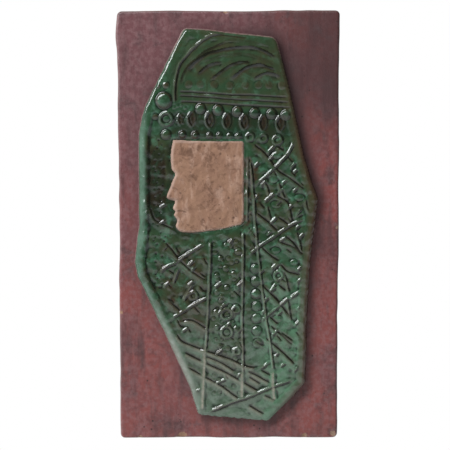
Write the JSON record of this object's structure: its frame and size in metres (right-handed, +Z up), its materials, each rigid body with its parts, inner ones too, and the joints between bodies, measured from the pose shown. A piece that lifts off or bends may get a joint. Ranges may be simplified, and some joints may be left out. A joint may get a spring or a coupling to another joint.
{
  "type": "decorative wall plaque",
  "caption": "Upright rectangular fired-clay wall plaque with a raised glazed profile figure in headdress and cloak, a bare clay face and a hollowed back.",
  "frame": {"origin": "the place on the back's top rim, on the centre line above the notch, that rests on the wall", "axes": "+X to the right of the plaque as seen from the front, +Z up along its height, +Y out of its back towards the wall"},
  "size_m": [0.205, 0.0239, 0.4],
  "materials": {
    "ground_engobe": "satin red-brown engobe with brush streaks",
    "green_glaze": "glossy bottle green glaze, brown where it breaks on the ridges",
    "bare_clay": "unglazed buff clay, matt, with pits and specks"
  },
  "bodies": {
    "root": {"plaque": "ground_engobe"}
  },
  "joints": []
}
